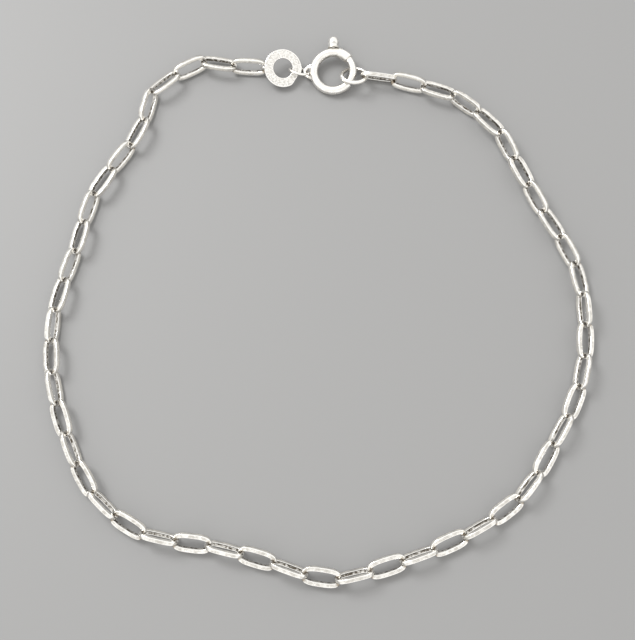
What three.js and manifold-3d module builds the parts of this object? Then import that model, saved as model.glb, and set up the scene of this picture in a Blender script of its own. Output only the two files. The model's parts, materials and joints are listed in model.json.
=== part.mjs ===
// A fine sterling silver trace bracelet, fastened and lying in its loop: fifty flat-faced oval
// links, a split tag ring, a small coupling ring, a bolt-ring clasp with its sprung bolt, and
// the jump ring that the bolt holds. Millimetres, +Z up. The origin is the middle of the loop's
// outline, on the surface that the bracelet lies on.
import * as THREE from 'three';
import { mergeVertices } from 'three/addons/utils/BufferGeometryUtils.js';
import Module from 'manifold-3d';

// ---- Driving dimensions ----------------------------------------------------------------------

// One chain link: an oval of wire, filed square, thinner at its two bends than along its rails.
// Lengths and widths are between wire centres.
const LINK_COUNT = 50;
const LINK = { length: 3.814, width: 1.63, ovalness: 3, railWire: 0.37, bendWire: 0.3 };
const LINKS_PER_RUN = 5; // links bear on each other inside a run and are one solid there
const BEARING = 0.27; // between two bends' wire centres inside a run
const HOOKED = 0.42; // between two bends' wire centres where one run hooks into the next

// Stations round a quarter of a link, from the bend to the rail: degrees on the oval, and how far
// the wire has grown there from its bend size to its rail size.
const LINK_STATIONS = [
  { degrees: 9, growth: 0 }, { degrees: 23, growth: 0.15 },
  { degrees: 41, growth: 0.6 }, { degrees: 63, growth: 1 },
];

// How the links lie: turn by turn the inner rail is up, or the outer one. The end link stands up.
const INNER_UP_ROLL = THREE.MathUtils.degToRad(30);
const OUTER_UP_ROLL = THREE.MathUtils.degToRad(-60);
const LAST_ROLL = THREE.MathUtils.degToRad(-101);

// The chain's route through its joints, from the tag ring round to the jump ring: x, y.
const ROUTE = [
  [-6.35, 27.4], [-10.1, 27.6], [-13.7, 28.1], [-16.8, 26.3], [-19.3, 24.1], [-20.0, 20.8],
  [-21.5, 17.6], [-25.3, 11.9], [-27.1, 5.1], [-29.0, -1.7], [-29.0, -8.6], [-27.1, -15.5],
  [-23.9, -21.9], [-18.4, -26.1], [-11.4, -27.3], [-4.6, -29.15], [-1.2, -30.35], [2.2, -30.75], [8.8, -28.9],
  [15.3, -26.3], [21.3, -22.3], [25.0, -16.7], [28.2, -10.3], [29.2, -3.4], [28.4, 3.6],
  [25.1, 9.9], [22.1, 16.2], [20.6, 19.4], [18.0, 22.0], [15.2, 24.0], [8.3, 26.0], [4.9, 26.4],
];
const END_RISE = { height: 0.14, length: 7 }; // the jump ring holds the chain's end up

// Tag ring: a flat washer with a saw cut, leaning on the first link, and a wire eye under its rim.
const TAG = { centre: [-4.15, 27.17, 1.29], outer: 2.18, bore: 1.12, thick: 0.32, slit: 0.16 };
const TAG_SLIT_ANGLE = THREE.MathUtils.degToRad(-18);
const TAG_LEAN = { north: THREE.MathUtils.degToRad(18), west: THREE.MathUtils.degToRad(11) };
const TAG_EYE = { radius: 0.47, wire: 0.32, roll: THREE.MathUtils.degToRad(60) };

// Small ring between the tag ring and the clasp's eye, standing on edge and leaning to the south.
const COUPLER = { centre: [-2.28, 26.94, 0.99], radius: 1.1, wire: 0.27 };
const COUPLER_HEADING = THREE.MathUtils.degToRad(-16.5);
const COUPLER_ROLL = THREE.MathUtils.degToRad(130.5);

// Bolt-ring clasp: a bent tube with a mouth, a slot and a blunt end, and an eye at its left.
const CLASP = { centre: [1.69, 26.95, 0.95], radius: 2.26, tube: 1, bore: 0.9 };
const CLASP_LEAN = { north: THREE.MathUtils.degToRad(9), east: THREE.MathUtils.degToRad(5) };
const MOUTH_ANGLE = THREE.MathUtils.degToRad(39);
const BORE_OVERRUN = 0.05; // radians by which the bore's cutter starts outside the mouth
const BORE_END_ANGLE = THREE.MathUtils.degToRad(154);
const BLUNT_END_ANGLE = THREE.MathUtils.degToRad(317.5);
const SLOT = { from: THREE.MathUtils.degToRad(83), to: THREE.MathUtils.degToRad(145), width: 0.5 };
const COLLAR = { diameter: 1.2, to: THREE.MathUtils.degToRad(74) }; // sleeve round the mouth
const CLASP_EYE = { out: 2.75, radius: 0.58, wire: 0.34 };
// The eye's lug narrows from its root in the tube to the eye's sides: distance out, half width.
const LUG = { root: { out: 2.45, half: 0.95 }, tip: { out: 3.05, half: 0.65 }, overlap: 0.06 };

// The bolt: a bent rod that slides round inside the tube, and its thumb knob.
const BOLT = { rod: 0.83, knobAngle: THREE.MathUtils.degToRad(89), neck: 0.4 };
const BOLT_TIP_ANGLE = THREE.MathUtils.degToRad(-38);
const BOLT_TAIL_ANGLE = THREE.MathUtils.degToRad(96);
// The knob's outline: radius, and distance out from the rod's centre line.
const KNOB_OUTLINE = [
  { radius: 0.62, out: 0.545 }, { radius: 0.62, out: 0.63 }, { radius: 0.5, out: 0.76 },
  { radius: 0.59, out: 1.07 }, { radius: 0.57, out: 1.4 }, { radius: 0.45, out: 1.68 },
  { radius: 0.25, out: 1.87 }, { radius: 0, out: 1.93 },
];

// Jump ring, hooked on the bolt, with the end link in it.
const JUMP = { centre: [4.08, 26.3, 1.15], radius: 1.43, wire: 0.46 };
const JUMP_LEAN = THREE.MathUtils.degToRad(31);

// Facets.
const RING_STEPS = 28;
const RING_SIDES = 8;
const WASHER_STEPS = 36;
const TUBE_STEPS = 40;
const COLLAR_STEPS = 7;
const BORE_STEPS = 18;
const SLOT_STEPS = 8;
const BOLT_STEPS = 22;
const TUBE_SIDES = 12;
const ROUTE_DIVISIONS = 3000; // for measuring along the route
const CHORD_PASSES = 6; // each one shrinks a chord's error a hundredfold
const WELD = 1e-5; // corners nearer than this are one corner

// ---- Materials -------------------------------------------------------------------------------

const silver = (roughness) =>
  new THREE.MeshStandardMaterial({ color: 0xdedbd3, metalness: 1, roughness });
const filedSilver = silver(0.28);
const polishedSilver = silver(0.12);
const stampedSilver = silver(0.38);

// ---- Solids: joining and cutting -------------------------------------------------------------

const wasm = await Module();
wasm.setup();

function toSolid(geometry) {
  const bare = geometry.clone();
  bare.deleteAttribute('normal');
  bare.deleteAttribute('uv');
  const merged = mergeVertices(bare, WELD);
  return new wasm.Manifold(new wasm.Mesh({
    numProp: 3,
    vertProperties: new Float32Array(merged.attributes.position.array),
    triVerts: new Uint32Array(merged.index.array),
  }));
}

function toGeometry(solid) {
  const mesh = solid.getMesh();
  const geometry = new THREE.BufferGeometry();
  geometry.setAttribute('position', new THREE.BufferAttribute(mesh.vertProperties, 3));
  geometry.setIndex(new THREE.BufferAttribute(mesh.triVerts, 1));
  geometry.computeVertexNormals();
  return geometry;
}

const join = (geometries) => toGeometry(
  geometries.map(toSolid).reduce((whole, piece) => whole.add(piece)),
);

// ---- Shapes ----------------------------------------------------------------------------------

// A closed ring of wire in the XY plane. Each station is a wire centre, the direction out of the
// ring and the wire's half size there; the section is square, its flats facing out and up.
function wireLoop(stations) {
  const sides = 4;
  const positions = [];
  const index = [];
  stations.forEach(({ centre, out, half }) => {
    [[1, 1], [-1, 1], [-1, -1], [1, -1]].forEach(([outward, upward]) => {
      const reach = half * outward;
      positions.push(centre.x + out.x * reach, centre.y + out.y * reach, half * upward);
    });
  });
  const rings = stations.length;
  for (let ring = 0; ring < rings; ring += 1) {
    const next = (ring + 1) % rings;
    for (let side = 0; side < sides; side += 1) {
      const beside = (side + 1) % sides;
      const [a, b] = [ring * sides + side, ring * sides + beside];
      const [c, d] = [next * sides + beside, next * sides + side];
      index.push(a, c, b, a, d, c);
    }
  }
  const geometry = new THREE.BufferGeometry();
  geometry.setAttribute('position', new THREE.Float32BufferAttribute(positions, 3));
  geometry.setIndex(index);
  return geometry;
}

// A chain link along X, its rails' flats facing in, out, up and down. The oval is a superellipse.
function linkGeometry() {
  const power = 2 / LINK.ovalness;
  const bendAngle = THREE.MathUtils.degToRad(LINK_STATIONS[0].degrees);
  const railAngle = THREE.MathUtils.degToRad(LINK_STATIONS.at(-1).degrees);
  const long = LINK.length / 2 / Math.cos(bendAngle) ** power;
  const wide = LINK.width / 2 / Math.sin(railAngle) ** power;
  const quarter = LINK_STATIONS.map(({ degrees, growth }) => {
    const angle = THREE.MathUtils.degToRad(degrees);
    const [cosine, sine] = [Math.cos(angle), Math.sin(angle)];
    const half = THREE.MathUtils.lerp(LINK.bendWire, LINK.railWire, growth) / 2;
    return {
      centre: new THREE.Vector2(long * cosine ** power, wide * sine ** power),
      out: new THREE.Vector2(wide * cosine ** (2 - power), long * sine ** (2 - power)).normalize(),
      half,
    };
  });
  const flipped = (stations, x, y) => stations.map(({ centre, out, half }) => ({
    centre: new THREE.Vector2(centre.x * x, centre.y * y),
    out: new THREE.Vector2(out.x * x, out.y * y),
    half,
  }));
  const back = [...quarter].reverse();
  return wireLoop([
    ...quarter, ...flipped(back, -1, 1), ...flipped(quarter, -1, -1), ...flipped(back, 1, -1),
  ]);
}

// A straight tube bent round the clasp's centre line, from one angle to another.
class ClaspArc extends THREE.Curve {
  constructor(from, to) {
    super();
    this.from = from;
    this.to = to;
  }

  getPoint(t, target = new THREE.Vector3()) {
    const angle = THREE.MathUtils.lerp(this.from, this.to, t);
    return target.set(CLASP.radius * Math.cos(angle), CLASP.radius * Math.sin(angle), 0);
  }
}

function bentRod(diameter, from, to, steps) {
  const section = new THREE.Shape().absarc(0, 0, diameter / 2, 0, 2 * Math.PI);
  return new THREE.ExtrudeGeometry(section, {
    steps, curveSegments: TUBE_SIDES / 2, bevelEnabled: false, extrudePath: new ClaspArc(from, to),
  });
}

// A flat piece of ring in the XY plane, centred on z = 0.
function ringPart(inner, outer, from, to, thick, curveSegments) {
  const shape = new THREE.Shape();
  shape.absarc(0, 0, outer, from, to, false);
  shape.absarc(0, 0, inner, to, from, true);
  return new THREE.ExtrudeGeometry(shape, { depth: thick, curveSegments, bevelEnabled: false })
    .translate(0, 0, -thick / 2);
}

const wireRing = (radius, wire) =>
  new THREE.TorusGeometry(radius, wire / 2, RING_SIDES, RING_STEPS);

// ---- The chain -------------------------------------------------------------------------------

const route = new THREE.CatmullRomCurve3(
  ROUTE.map(([x, y]) => new THREE.Vector3(x, y, 0)), false, 'catmullrom', 0.5,
);
route.arcLengthDivisions = ROUTE_DIVISIONS;
const routeLength = route.getLength();
const steepest = Math.abs(OUTER_UP_ROLL);
const axisHeight = (LINK.width / 2) * Math.sin(steepest)
  + (LINK.railWire / 2) * (Math.sin(steepest) + Math.cos(steepest)); // its lower rails rest

function routePoint(distance) {
  const rise = THREE.MathUtils.smoothstep(distance, routeLength - END_RISE.length, routeLength);
  return route.getPointAt(Math.min(distance / routeLength, 1))
    .setZ(axisHeight + END_RISE.height * rise);
}

// How far along the route a straight chord from `start` reaches.
function chordEnd(start, chord) {
  let end = start + chord;
  for (let pass = 0; pass < CHORD_PASSES; pass += 1) {
    end += chord - routePoint(start).distanceTo(routePoint(end));
  }
  return end;
}

// Frame with X along a direction, Z as near up as it can be, rolled about X, at a centre.
function placed(along, centre, roll) {
  const x = along.clone().normalize();
  const y = new THREE.Vector3(0, 0, 1).cross(x).normalize();
  const z = x.clone().cross(y);
  return new THREE.Matrix4().makeBasis(x, y, z)
    .multiply(new THREE.Matrix4().makeRotationX(roll))
    .setPosition(centre);
}

function linkRoll(number) {
  if (number === LINK_COUNT) {
    return LAST_ROLL;
  }
  return number % 2 === 0 ? INNER_UP_ROLL : OUTER_UP_ROLL;
}

// Each link's place: its matrix, and the joints where it meets its neighbours.
function linkPlaces() {
  let distance = 0;
  return Array.from({ length: LINK_COUNT }, (_, index) => {
    const before = index % LINKS_PER_RUN === 0 ? HOOKED : BEARING;
    const after = index % LINKS_PER_RUN === LINKS_PER_RUN - 1 ? HOOKED : BEARING;
    const start = routePoint(distance);
    distance = chordEnd(distance, LINK.length - (before + after) / 2);
    const end = routePoint(distance);
    const along = end.clone().sub(start).normalize();
    const centre = start.clone().addScaledVector(along, (LINK.length - before) / 2);
    return { start, end, centre, matrix: placed(along, centre, linkRoll(index + 1)) };
  });
}

const links = linkPlaces();

function chainRuns() {
  return Array.from({ length: LINK_COUNT / LINKS_PER_RUN }, (_, run) => {
    const members = links.slice(run * LINKS_PER_RUN, (run + 1) * LINKS_PER_RUN);
    const origin = members[Math.floor(LINKS_PER_RUN / 2)].centre;
    const geometry = join(members.map(({ matrix }) => linkGeometry()
      .applyMatrix4(matrix).translate(-origin.x, -origin.y, -origin.z)));
    const mesh = new THREE.Mesh(geometry, filedSilver);
    mesh.name = `chain_run_${String(run + 1).padStart(2, '0')}`;
    mesh.position.copy(origin);
    return mesh;
  });
}

// ---- The tag ring and its link ---------------------------------------------------------------

function tagRing() {
  const halfSlit = TAG.slit / 2 / TAG.outer;
  const washer = ringPart(
    TAG.bore, TAG.outer, TAG_SLIT_ANGLE + halfSlit, TAG_SLIT_ANGLE + 2 * Math.PI - halfSlit,
    TAG.thick, WASHER_STEPS / 2,
  );
  const lean = new THREE.Matrix4().makeRotationX(TAG_LEAN.north)
    .multiply(new THREE.Matrix4().makeRotationY(TAG_LEAN.west));
  washer.applyMatrix4(lean);
  // The eye goes round the first link's end bend, square to it, and is soldered under the rim.
  const { start, end } = links[0];
  const along = end.clone().sub(start).normalize();
  const reach = HOOKED / 2 - TAG_EYE.radius;
  const centre = start.clone().addScaledVector(along, reach).sub(new THREE.Vector3(...TAG.centre));
  const eye = wireRing(TAG_EYE.radius, TAG_EYE.wire)
    .applyMatrix4(placed(along, centre, TAG_EYE.roll));
  const mesh = new THREE.Mesh(join([washer, eye]), stampedSilver);
  mesh.name = 'tag_ring';
  mesh.position.set(...TAG.centre);
  return mesh;
}

function coupler() {
  const mesh = new THREE.Mesh(wireRing(COUPLER.radius, COUPLER.wire), polishedSilver);
  mesh.name = 'coupling_ring';
  const heading = new THREE.Vector3(Math.cos(COUPLER_HEADING), Math.sin(COUPLER_HEADING), 0);
  placed(heading, new THREE.Vector3(...COUPLER.centre), COUPLER_ROLL)
    .decompose(mesh.position, mesh.quaternion, mesh.scale);
  return mesh;
}

// ---- The clasp -------------------------------------------------------------------------------

// The flat lug that fills the corners between the tube and the eye.
function eyeLug() {
  const { root, tip, overlap } = LUG;
  const shape = new THREE.Shape([
    new THREE.Vector2(-root.out, -root.half), new THREE.Vector2(-root.out, root.half),
    new THREE.Vector2(-tip.out, tip.half), new THREE.Vector2(-tip.out, -tip.half),
  ]);
  const plate = new THREE.ExtrudeGeometry(shape, { depth: CLASP_EYE.wire, bevelEnabled: false })
    .translate(0, 0, -CLASP_EYE.wire / 2);
  const bore = CLASP_EYE.radius - CLASP_EYE.wire / 2 + overlap;
  const drill = new THREE.CylinderGeometry(bore, bore, 2 * CLASP_EYE.wire, RING_STEPS)
    .rotateX(Math.PI / 2).translate(-CLASP_EYE.out, 0, 0);
  return toSolid(plate).subtract(toSolid(drill));
}

function claspRing() {
  const tube = toSolid(bentRod(CLASP.tube, MOUTH_ANGLE, BLUNT_END_ANGLE, TUBE_STEPS));
  const collar = toSolid(bentRod(COLLAR.diameter, MOUTH_ANGLE, COLLAR.to, COLLAR_STEPS));
  const boreStart = MOUTH_ANGLE - BORE_OVERRUN;
  const bore = toSolid(bentRod(CLASP.bore, boreStart, BORE_END_ANGLE, BORE_STEPS));
  const slot = toSolid(ringPart(CLASP.radius, CLASP.radius + CLASP.tube, SLOT.from, SLOT.to,
    SLOT.width, SLOT_STEPS));
  const eye = toSolid(wireRing(CLASP_EYE.radius, CLASP_EYE.wire)
    .translate(-CLASP_EYE.out, 0, 0));
  const geometry = toGeometry(
    tube.add(collar).add(eye).add(eyeLug()).subtract(bore).subtract(slot),
  );
  const mesh = new THREE.Mesh(geometry, polishedSilver);
  mesh.name = 'clasp_ring';
  return mesh;
}

function claspBolt() {
  const rod = bentRod(BOLT.rod, BOLT_TIP_ANGLE, BOLT_TAIL_ANGLE, BOLT_STEPS);
  const neck = [{ radius: 0, out: 0 }, { radius: BOLT.neck / 2, out: 0 },
    { radius: BOLT.neck / 2, out: KNOB_OUTLINE[0].out }];
  const profile = [...neck, ...KNOB_OUTLINE]
    .map(({ radius, out }) => new THREE.Vector2(radius, out));
  const knob = new THREE.LatheGeometry(profile, TUBE_SIDES)
    .translate(0, CLASP.radius, 0).rotateZ(BOLT.knobAngle - Math.PI / 2);
  const mesh = new THREE.Mesh(join([rod, knob]), polishedSilver);
  mesh.name = 'clasp_bolt';
  return mesh;
}

function clasp() {
  const group = new THREE.Group();
  group.add(claspRing(), claspBolt());
  group.position.set(...CLASP.centre);
  group.rotation.set(CLASP_LEAN.north, -CLASP_LEAN.east, 0);
  return group;
}

function jumpRing() {
  const mesh = new THREE.Mesh(wireRing(JUMP.radius, JUMP.wire), polishedSilver);
  mesh.name = 'jump_ring';
  mesh.position.set(...JUMP.centre);
  mesh.rotation.x = -JUMP_LEAN;
  return mesh;
}

const bracelet = new THREE.Group();
bracelet.add(...chainRuns(), tagRing(), coupler(), clasp(), jumpRing());
export default bracelet;
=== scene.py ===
"""A fine sterling silver trace bracelet, fastened and lying in its loop on a pale surface.

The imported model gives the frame: where the clasp turns, where each ring lies and which pieces
move. This script makes the finished metal round it: fifty filed oval links, a worn split tag
ring, a coupling ring, a bolt-ring clasp with its sliding bolt, and a jump ring. Sizes are in
millimetres and angles in radians unless a line says otherwise; meshes are in metres.
"""

from __future__ import annotations

import json
import logging
import math
from collections.abc import Iterator, Mapping, Sequence
from contextlib import contextmanager
from dataclasses import dataclass, field
from enum import Enum

import bmesh
import bpy
import numpy as np
from mathutils import Matrix, Vector, noise

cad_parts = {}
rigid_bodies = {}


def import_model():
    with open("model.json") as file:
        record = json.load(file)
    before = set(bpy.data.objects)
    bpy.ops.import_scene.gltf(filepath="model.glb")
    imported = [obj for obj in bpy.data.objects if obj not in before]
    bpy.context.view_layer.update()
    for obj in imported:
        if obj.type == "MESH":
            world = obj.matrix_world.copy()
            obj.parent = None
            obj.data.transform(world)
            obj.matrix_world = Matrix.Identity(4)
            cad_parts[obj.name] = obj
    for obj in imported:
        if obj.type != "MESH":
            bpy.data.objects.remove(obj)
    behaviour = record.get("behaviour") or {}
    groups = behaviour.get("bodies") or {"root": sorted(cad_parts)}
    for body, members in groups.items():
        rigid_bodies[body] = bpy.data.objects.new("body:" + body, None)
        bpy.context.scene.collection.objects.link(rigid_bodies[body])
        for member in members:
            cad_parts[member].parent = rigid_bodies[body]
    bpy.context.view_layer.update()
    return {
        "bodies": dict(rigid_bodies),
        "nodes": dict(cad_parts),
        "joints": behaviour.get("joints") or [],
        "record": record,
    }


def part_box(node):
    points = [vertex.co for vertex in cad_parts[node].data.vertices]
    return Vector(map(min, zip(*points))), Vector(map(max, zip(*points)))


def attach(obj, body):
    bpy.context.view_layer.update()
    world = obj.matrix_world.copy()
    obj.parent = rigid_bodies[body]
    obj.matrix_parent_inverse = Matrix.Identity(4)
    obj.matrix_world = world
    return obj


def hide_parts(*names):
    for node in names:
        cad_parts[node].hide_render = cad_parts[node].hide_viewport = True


LOG = logging.getLogger("bracelet")
MM = 0.001
UP = Vector((0, 0, 1))
WIRE_MAP = "along_and_round"

Pair = tuple[float, float]
Triple = tuple[float, float, float]
Node = bpy.types.Node
Object = bpy.types.Object
Socket = bpy.types.NodeSocket


class Body(Enum):
    """The two rigid bodies that pieces ride on."""

    BRACELET = "bracelet"
    BOLT = "bolt"


class Slot(Enum):
    """The record's material slots."""

    FILED = "filed_silver"
    STAMPED = "stamped_silver"
    POLISHED = "polished_silver"


class Trait(Enum):
    """Names of the attributes that the finishes read."""

    EDGE = "edge"
    INWARD = "inward"
    BEND = "bend"
    TONE = "tone"


# ---- Shaping ----


@dataclass(frozen=True)
class SectionPoint:
    """One point of a wire's section: across, up, and how far it is on an edge, 0 to 1."""

    x: float
    y: float
    edge: float = 0.0


Section = Sequence[SectionPoint]


def eased(value: float) -> float:
    """Holds a value between 0 and 1, and makes it start and end gently."""
    held = min(max(value, 0), 1)
    return held * held * (3 - 2 * held)


def filed_section(width: float, height: float, corner: float, arc_points: int = 4) -> Section:
    """Works out a rectangular section with rounded corners.

    Args:
        width: Size across.
        height: Size up.
        corner: Radius of the corners.
        arc_points: Points round each corner.

    Returns:
        The points counterclockwise, with one more in the middle of each flat.
    """
    corners = ((1, 1, 0, height / 2), (-1, 1, -width / 2, 0), (-1, -1, 0, -height / 2),
               (1, -1, width / 2, 0))
    points: list[SectionPoint] = []
    for quarter, (side_x, side_y, flat_x, flat_y) in enumerate(corners):
        for step in range(arc_points):
            angle = math.pi / 2 * (quarter + step / (arc_points - 1))
            points.append(SectionPoint(
                side_x * (width / 2 - corner) + corner * math.cos(angle),
                side_y * (height / 2 - corner) + corner * math.sin(angle), 1.0))
        points.append(SectionPoint(flat_x, flat_y))
    return points


def round_section(radius: float, sides: int) -> Section:
    """Works out a round section of that radius with that many sides."""
    turn = 2 * math.pi / sides
    return [SectionPoint(radius * math.cos(turn * i), radius * math.sin(turn * i))
            for i in range(sides)]


def frame_of(x: Vector, y: Vector, origin: Vector) -> Matrix:
    """Builds a frame from two unit axes and an origin."""
    frame = Matrix((x, y, x.cross(y))).transposed().to_4x4()
    frame.translation = origin
    return frame


def arc_frame(radius: float, angle: float) -> Matrix:
    """Gives the frame of a section on a circle in the XY plane: X out of the circle, Y up."""
    out = Vector((math.cos(angle), math.sin(angle), 0))
    return frame_of(out, UP, out * radius)


def laid_frame(along: Vector, origin: Vector, roll: float) -> Matrix:
    """Gives a frame with X along a direction and Z as near up as it can be, rolled about X.

    Args:
        along: The direction of X.
        origin: The frame's origin.
        roll: The turn about X.

    Returns:
        The frame as a 4 by 4 matrix.
    """
    x = along.normalized()
    y = UP.cross(x).normalized()
    return frame_of(x, y, origin) @ Matrix.Rotation(roll, 4, "X")


def ring_frame(node: str, heading: float, roll: float) -> Matrix:
    """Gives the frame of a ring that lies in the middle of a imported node's box.

    Args:
        node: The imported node.
        heading: The level direction of the frame's X, in degrees from east.
        roll: Its roll about X, in degrees.

    Returns:
        The frame as a 4 by 4 matrix.
    """
    low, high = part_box(node)
    turn = math.radians(heading)
    along = Vector((math.cos(turn), math.sin(turn), 0))
    return laid_frame(along, (low + high) / 2 / MM, math.radians(roll))


def lengths_round(loop: Sequence[Vector]) -> list[float]:
    """Measures a closed loop: how far along it each point is, and last its whole length."""
    lengths = [0.0]
    for here, after in zip(loop, [*loop[1:], loop[0]]):
        lengths.append(lengths[-1] + (after - here).length)
    return lengths


@dataclass
class Sweep:
    """A wire, tube or bar made by carrying a section through a row of frames.

    Bearing says how far each section is on a bend that bears on a neighbour, and inner_side
    whether the sections' low X side is the inner side of a ring.
    """

    frames: Sequence[Matrix]
    sections: Sequence[Section]
    closed: bool = False
    bearing: Sequence[float] = ()
    inner_side: bool = True

    def object(self, name: str) -> Object:
        """Makes the swept shape as a closed mesh.

        Args:
            name: Name of the new object.

        Returns:
            The object, linked to the scene, with a UV map in millimetres along and round it.
        """
        rings, sides = len(self.frames), len(self.sections[0])
        places = [frame @ Vector((point.x, point.y, 0)) * MM
                  for frame, section in zip(self.frames, self.sections) for point in section]
        quads = [[(ring, side), (ring, side + 1), (ring + 1, side + 1), (ring + 1, side)]
                 for ring in range(rings if self.closed else rings - 1) for side in range(sides)]
        faces = [[(ring % rings) * sides + side % sides for ring, side in quad]
                 for quad in quads]
        if not self.closed:
            faces += [list(range(sides)), list(range((rings - 1) * sides, rings * sides))]
        mesh = bpy.data.meshes.new(name)
        mesh.from_pydata(places, [], faces)
        self._map_surface(mesh, [corner for quad in quads for corner in quad])
        self._write_traits(mesh)
        return linked(turned_out(mesh), name)

    def _map_surface(self, mesh: bpy.types.Mesh, corners: Sequence[tuple[int, int]]) -> None:
        """Writes the UV map of the corners: how far along the wire and round it they are."""
        along = lengths_round([frame.translation for frame in self.frames])
        around = lengths_round([Vector((point.x, point.y)) for point in self.sections[0]])
        layer = mesh.uv_layers.new(name=WIRE_MAP)
        for loop, (ring, side) in enumerate(corners):
            layer.data[loop].uv = (along[ring], around[side])

    def _write_traits(self, mesh: bpy.types.Mesh) -> None:
        """Writes how far each point is on an edge, on an inner face and on a bearing bend."""
        bearing = self.bearing or [0.0] * len(self.sections)
        values: dict[Trait, list[float]] = {Trait.EDGE: [], Trait.INWARD: [], Trait.BEND: []}
        for section, bend in zip(self.sections, bearing):
            reach = max(abs(point.x) for point in section)
            values[Trait.EDGE] += [point.edge for point in section]
            values[Trait.INWARD] += [max(0.0, -point.x / reach) if self.inner_side else 0.0
                                     for point in section]
            values[Trait.BEND] += [bend] * len(section)
        for trait, numbers in values.items():
            mesh.attributes.new(trait.value, "FLOAT", "POINT").data.foreach_set("value", numbers)


@contextmanager
def edited(mesh: bpy.types.Mesh) -> Iterator[bmesh.types.BMesh]:
    """Opens a mesh for editing and then writes it back."""
    work = bmesh.new()
    work.from_mesh(mesh)
    yield work
    work.to_mesh(mesh)
    work.free()


def turned_out(mesh: bpy.types.Mesh) -> bpy.types.Mesh:
    """Turns a closed mesh's faces outwards and shades it smooth."""
    with edited(mesh) as work:
        bmesh.ops.recalc_face_normals(work, faces=work.faces)
    mesh.shade_smooth()
    return mesh


def linked(data: bpy.types.ID, name: str) -> Object:
    """Puts a mesh, lamp or camera in the scene as an object of that name."""
    made = bpy.data.objects.new(name, data)
    bpy.context.scene.collection.objects.link(made)
    return made


def settled(piece: Object) -> Object:
    """Replaces an object's mesh by what its modifiers make of it, and removes them."""
    bpy.context.view_layer.update()
    graph = bpy.context.evaluated_depsgraph_get()
    mesh = bpy.data.meshes.new_from_object(piece.evaluated_get(graph), depsgraph=graph,
                                           preserve_all_data_layers=True)
    old = piece.data
    piece.modifiers.clear()
    piece.data = mesh
    bpy.data.meshes.remove(old)
    mesh.name = piece.name
    return piece


def modified(piece: Object, kind: str, **settings: object) -> Object:
    """Changes a piece's mesh by a modifier.

    Args:
        piece: The piece.
        kind: The modifier's type.
        **settings: Its properties.

    Returns:
        The piece.
    """
    modifier = piece.modifiers.new(kind.lower(), kind)
    for name, value in settings.items():
        setattr(modifier, name, value)
    return settled(piece)


class Joining(Enum):
    """How one solid is joined to another."""

    FUSE = "UNION"
    CUT = "DIFFERENCE"


def joined(piece: Object, how: Joining, *others: Object) -> Object:
    """Fuses other solids to a piece, or cuts them from it, and removes them.

    The solids are a thousand times their size meanwhile, so that their small edges stay apart.

    Args:
        piece: The solid that stays.
        how: Whether the others are fused or cut away.
        *others: The other solids.

    Returns:
        The piece.
    """
    enlarged = Matrix.Scale(1 / MM, 4)
    piece.data.transform(enlarged)
    for other in others:
        other.data.transform(enlarged)
        modified(piece, "BOOLEAN", operation=how.value, solver="EXACT", object=other)
        bpy.data.objects.remove(other)
    piece.data.transform(enlarged.inverted())
    return piece


def cleaned(piece: Object, least: float) -> Object:
    """Collapses a piece's edges that are shorter than a least length, and empty faces."""
    with edited(piece.data) as work:
        bmesh.ops.dissolve_degenerate(work, dist=least * MM, edges=work.edges)
    return piece


def softened(piece: Object, edge: float, sharp_degrees: float, least: float = 0.004) -> Object:
    """Rounds a piece's sharp edges and evens its shading.

    Args:
        piece: The piece.
        edge: Width of the rounding.
        sharp_degrees: Least angle of an edge that is rounded.
        least: Least length of an edge, which is halved once the edges are rounded.

    Returns:
        The piece.
    """
    cleaned(piece, least).data.shade_smooth()
    modified(piece, "BEVEL", width=edge * MM, segments=2, limit_method="ANGLE",
             angle_limit=math.radians(sharp_degrees), use_clamp_overlap=True)
    return evened(cleaned(piece, least / 2))


def evened(piece: Object) -> Object:
    """Weights a piece's shading normals towards its larger faces."""
    return modified(piece, "WEIGHTED_NORMAL", weight=80, keep_sharp=True)


def placed(piece: Object, frame: Matrix) -> Object:
    """Moves a piece's mesh by a frame; its object stays at the origin."""
    metres = frame.copy()
    metres.translation = frame.translation * MM
    piece.data.transform(metres)
    return piece


# ---- Finishes ----


@dataclass(frozen=True)
class Pattern:
    """A noise pattern, and the span of it that its patches map from one end to the other."""

    scale: float
    detail: float = 3.0
    roughness: float = 0.55
    span: Pair = (0.0, 1.0)
    ends: Pair = (0.0, 1.0)


# The first three patterns set the painted shade: on steep faces, inside links with dirt, and at
# bends with tarnished metal.
FLANK_PATCHES = Pattern(scale=1.7, detail=4.0, roughness=0.6, span=(0.34, 0.62), ends=(0.45, 1.0))
GRIME_AND_SHADE_PATCHES = Pattern(scale=3.0, detail=4.0, roughness=0.65, span=(0.42, 0.6), ends=(1.0, 0.15))
TARNISH_AND_SHADE_PATCHES = Pattern(scale=2.2, span=(0.3, 0.7), ends=(0.5, 1.0))
STREAKS = Pattern(scale=1.0, detail=4.0, roughness=0.65, span=(0.5, 0.72))
SCRATCHES = Pattern(scale=1.0, detail=3.0, roughness=0.7)


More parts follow.
